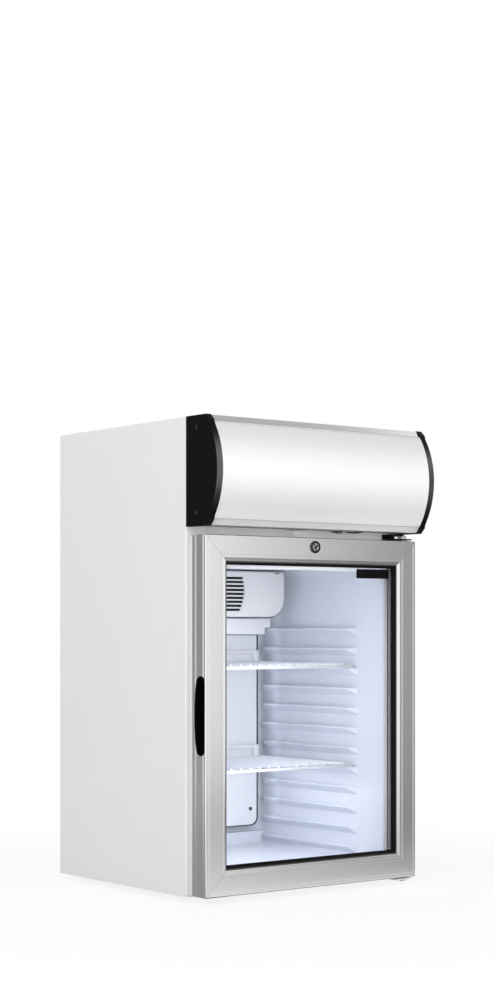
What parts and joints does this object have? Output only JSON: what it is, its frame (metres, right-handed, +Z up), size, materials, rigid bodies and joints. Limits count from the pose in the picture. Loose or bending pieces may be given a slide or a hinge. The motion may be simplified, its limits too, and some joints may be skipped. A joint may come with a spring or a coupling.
{
  "type": "countertop display cooler",
  "caption": "Countertop display cooler with a glazed hinged door in an aluminium frame, sliding wire shelves, an edge handle, a cylinder lock and a curved light canopy.",
  "frame": {"origin": "middle of the bounding box's footprint, on the counter under the feet", "axes": "+Z up, -Y out of the door's front, +X to the hinge side on the viewer's right"},
  "size_m": [0.3934, 0.424, 0.658],
  "materials": {
    "white_paint": "smooth white powder coat, satin",
    "white_abs": "vacuum-formed white sheet, soft gloss",
    "black_abs": "moulded black, semi-matt",
    "anodised_aluminium": "natural anodised extrusion, satin",
    "polished_chrome": "polished plating",
    "zinc_steel": "zinc plated",
    "black_rubber": "matt",
    "white_seal": "soft white magnetic seal, matt",
    "clear_glass": "clear toughened glass",
    "opal_acrylic": "opal, soft gloss",
    "white_wire_coat": "white plastic-coated wire",
    "foam": "rigid foam, matt",
    "black_paint": "black enamel",
    "copper_pipe": "drawn copper",
    "fin_aluminium": "mill finish",
    "white_nylon": "moulded nylon, matt"
  },
  "bodies": {
    "cabinet": {"outer_shell": "white_paint", "base_panel": "white_paint", "rear_panel": "white_paint", "foam_insulation": "foam", "inner_liner": "white_abs", "upper_front_panel": "white_paint", "machine_deck": "zinc_steel", "rear_grille": "white_paint", "foot_front_left": "black_rubber", "foot_front_right": "black_rubber", "foot_rear_left": "black_rubber", "foot_rear_right": "black_rubber", "compressor": "black_paint", "start_relay": "black_abs", "discharge_line": "copper_pipe", "suction_line": "copper_pipe", "filter_drier": "copper_pipe", "condenser_coil": "black_paint", "evaporator_coil": "fin_aluminium", "fan_motor": "black_paint", "evaporator_cover": "white_abs", "drip_tray": "white_abs", "duct_panel": "white_abs", "interior_lamp": "opal_acrylic", "thermostat": "white_nylon", "cord_gland": "black_abs", "hinge_bracket_top": "black_paint", "hinge_pin_top": "zinc_steel", "hinge_bracket_bottom": "white_paint", "hinge_pin_bottom": "zinc_steel", "lock_strike": "white_paint", "canopy_end_left": "black_abs", "canopy_end_right": "black_abs", "canopy_diffuser": "opal_acrylic", "canopy_top_trim": "anodised_aluminium", "canopy_bottom_trim": "white_paint", "canopy_lamp": "opal_acrylic", "canopy_screw_left_upper": "black_paint", "canopy_screw_left_lower": "black_paint", "canopy_screw_right_upper": "black_paint", "canopy_screw_right_lower": "black_paint"},
    "door": {"door_rail_top": "anodised_aluminium", "door_rail_bottom": "anodised_aluminium", "door_stile_left": "anodised_aluminium", "door_stile_right": "anodised_aluminium", "glass_outer": "clear_glass", "glass_inner": "clear_glass", "glazing_spacer": "anodised_aluminium", "glazing_gasket": "black_rubber", "door_gasket": "white_seal", "handle_insert": "black_abs", "door_bush_top": "white_nylon", "door_bush_bottom": "white_nylon", "lock_barrel": "polished_chrome"},
    "lock": {"lock_plug": "polished_chrome"},
    "fan": {"fan_blade": "black_abs"},
    "upper_shelf": {"shelf_upper": "white_wire_coat"},
    "lower_shelf": {"shelf_lower": "white_wire_coat"},
    "light_rocker": {"light_switch": "white_nylon"},
    "knob": {"thermostat_knob": "black_abs"}
  },
  "joints": [
    {"name": "door_hinge", "type": "hinge", "parent": "cabinet", "child": "door", "pos_m": [0.178, -0.163, 0.0095], "axis": [0, 0, 1], "range_deg": [0, 110]},
    {"name": "lock_turn", "type": "hinge", "parent": "door", "child": "lock", "pos_m": [0, -0.178, 0.485], "axis": [0, -1, 0], "range_deg": [0, 90]},
    {"name": "fan_spin", "type": "hinge", "parent": "cabinet", "child": "fan", "pos_m": [0, 0.08065, 0.42345], "axis": [0, 1, 0], "continuous": true},
    {"name": "upper_shelf_slide", "type": "slide", "parent": "cabinet", "child": "upper_shelf", "axis": [0, -1, 0], "range_m": [0, 0.06]},
    {"name": "lower_shelf_slide", "type": "slide", "parent": "cabinet", "child": "lower_shelf", "axis": [0, -1, 0], "range_m": [0, 0.06]},
    {"name": "light_rock", "type": "hinge", "parent": "cabinet", "child": "light_rocker", "pos_m": [0.085, -0.148, 0.51105], "axis": [0, 1, 0], "range_deg": [0, 16]},
    {"name": "knob_turn", "type": "hinge", "parent": "cabinet", "child": "knob", "pos_m": [0.12, 0.181, 0.603], "axis": [0, 1, 0], "range_deg": [0, 270]}
  ]
}
